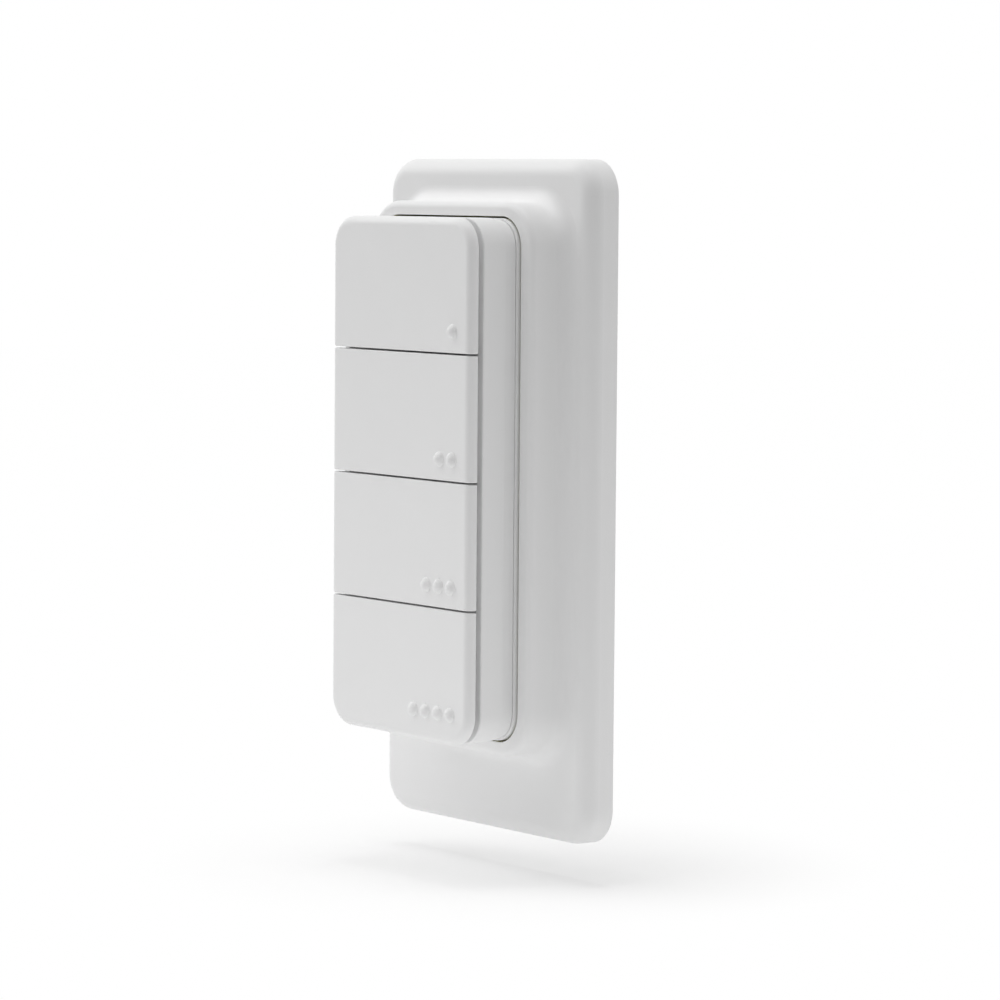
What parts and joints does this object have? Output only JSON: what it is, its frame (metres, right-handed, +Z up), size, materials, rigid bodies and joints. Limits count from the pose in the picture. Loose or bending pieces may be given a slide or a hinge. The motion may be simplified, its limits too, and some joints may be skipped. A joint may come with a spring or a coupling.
{
  "type": "wireless remote control",
  "caption": "Slim wall-mounted wireless remote with wide push keys marked by raised dots, docked in a rimmed wall plate it pulls off from.",
  "frame": {"origin": "centre of the wall plate's back face, on the wall", "axes": "+Z up the wall, +X to the viewer's right, +Y into the wall; the keys face -Y"},
  "size_m": [0.0436, 0.0181, 0.0852],
  "materials": {
    "plate_plastic": "satin moulded white",
    "shell_plastic": "satin moulded white",
    "key_plastic": "satin moulded white",
    "zinc_steel": "yellow passivated zinc",
    "board_laminate": "solder mask",
    "cell_steel": "brushed",
    "contact_metal": "plated spring strip",
    "chip_resin": "moulded resin",
    "antenna_ceramic": "fired ceramic",
    "magnet_nickel": "nickel plated"
  },
  "bodies": {
    "holder": {"wall_plate": "plate_plastic", "keeper_tray": "zinc_steel"},
    "remote": {"base_shell": "shell_plastic", "rear_cover": "shell_plastic", "circuit_board": "board_laminate", "coin_cell": "cell_steel", "battery_contact": "contact_metal", "battery_clip": "contact_metal", "radio_chip": "chip_resin", "crystal": "cell_steel", "antenna": "antenna_ceramic", "magnet_upper": "magnet_nickel", "magnet_lower": "magnet_nickel", "switch_1": "cell_steel", "switch_2": "cell_steel", "switch_3": "cell_steel", "switch_4": "cell_steel"},
    "button_1": {"button_1": "key_plastic", "plunger_1": "chip_resin"},
    "button_2": {"button_2": "key_plastic", "plunger_2": "chip_resin"},
    "button_3": {"button_3": "key_plastic", "plunger_3": "chip_resin"},
    "button_4": {"button_4": "key_plastic", "plunger_4": "chip_resin"}
  },
  "joints": [
    {"name": "remote_pull_off", "type": "slide", "parent": "holder", "child": "remote", "axis": [0, -1, 0], "range_m": [0, 0.03]},
    {"name": "button_1_press", "type": "slide", "parent": "remote", "child": "button_1", "axis": [0, 1, 0], "range_m": [0, 0.0004], "stiffness_N_per_m": 3000},
    {"name": "button_2_press", "type": "slide", "parent": "remote", "child": "button_2", "axis": [0, 1, 0], "range_m": [0, 0.0004], "stiffness_N_per_m": 3000},
    {"name": "button_3_press", "type": "slide", "parent": "remote", "child": "button_3", "axis": [0, 1, 0], "range_m": [0, 0.0004], "stiffness_N_per_m": 3000},
    {"name": "button_4_press", "type": "slide", "parent": "remote", "child": "button_4", "axis": [0, 1, 0], "range_m": [0, 0.0004], "stiffness_N_per_m": 3000}
  ]
}
